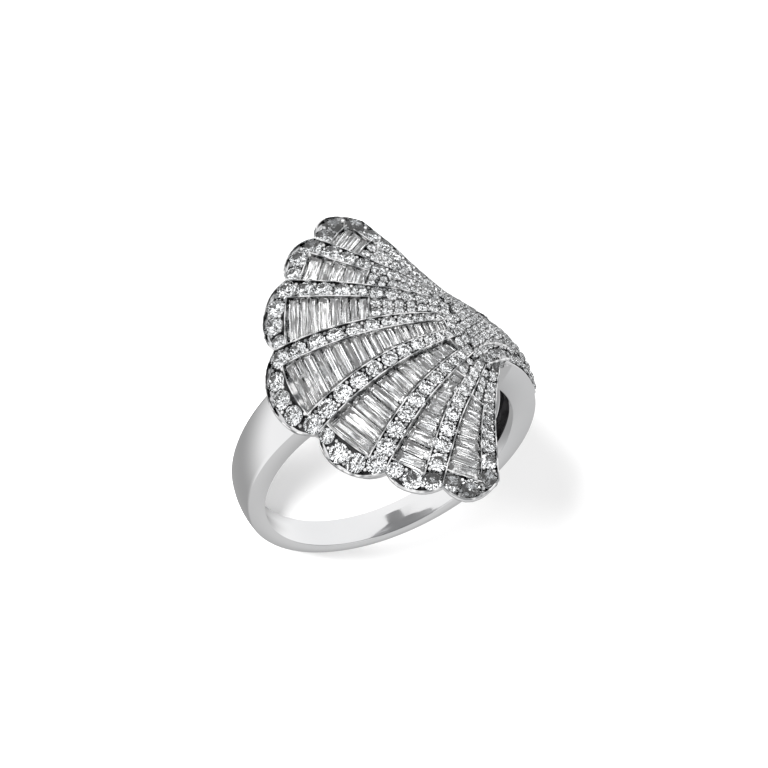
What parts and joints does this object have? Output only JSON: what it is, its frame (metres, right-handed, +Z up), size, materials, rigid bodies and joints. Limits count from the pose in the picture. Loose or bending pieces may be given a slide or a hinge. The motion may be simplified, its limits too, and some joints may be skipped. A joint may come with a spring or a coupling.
{
  "type": "diamond fan ring",
  "caption": "White gold ring whose band spreads into a pleated fan, with channels of baguette stones between rows and scalloped rims of small round stones.",
  "frame": {"origin": "centre of the ring's box on the surface that it lies on", "axes": "+Z up from the surface, the lying ring's longest side along X; the finger hole leans, its axis 36 degrees from upright, its front end up and toward +X"},
  "size_m": [0.0216, 0.0212, 0.0199],
  "materials": {
    "white_gold": "polished, rhodium plated",
    "round_diamond": "brilliant cut, colourless",
    "baguette_diamond": "step cut, colourless"
  },
  "bodies": {
    "root": {"band_and_fan": "white_gold", "pave_shoulder": "round_diamond", "pave_blade_1": "round_diamond", "pave_blade_2": "round_diamond", "pave_blade_3": "round_diamond", "pave_blade_4": "round_diamond", "pave_blade_5": "round_diamond", "pave_blade_6": "round_diamond", "pave_blade_7": "round_diamond", "baguettes_1": "baguette_diamond", "baguettes_2": "baguette_diamond", "baguettes_3": "baguette_diamond", "baguettes_4": "baguette_diamond", "baguettes_5": "baguette_diamond", "baguettes_6": "baguette_diamond", "baguettes_7": "baguette_diamond"}
  },
  "joints": []
}
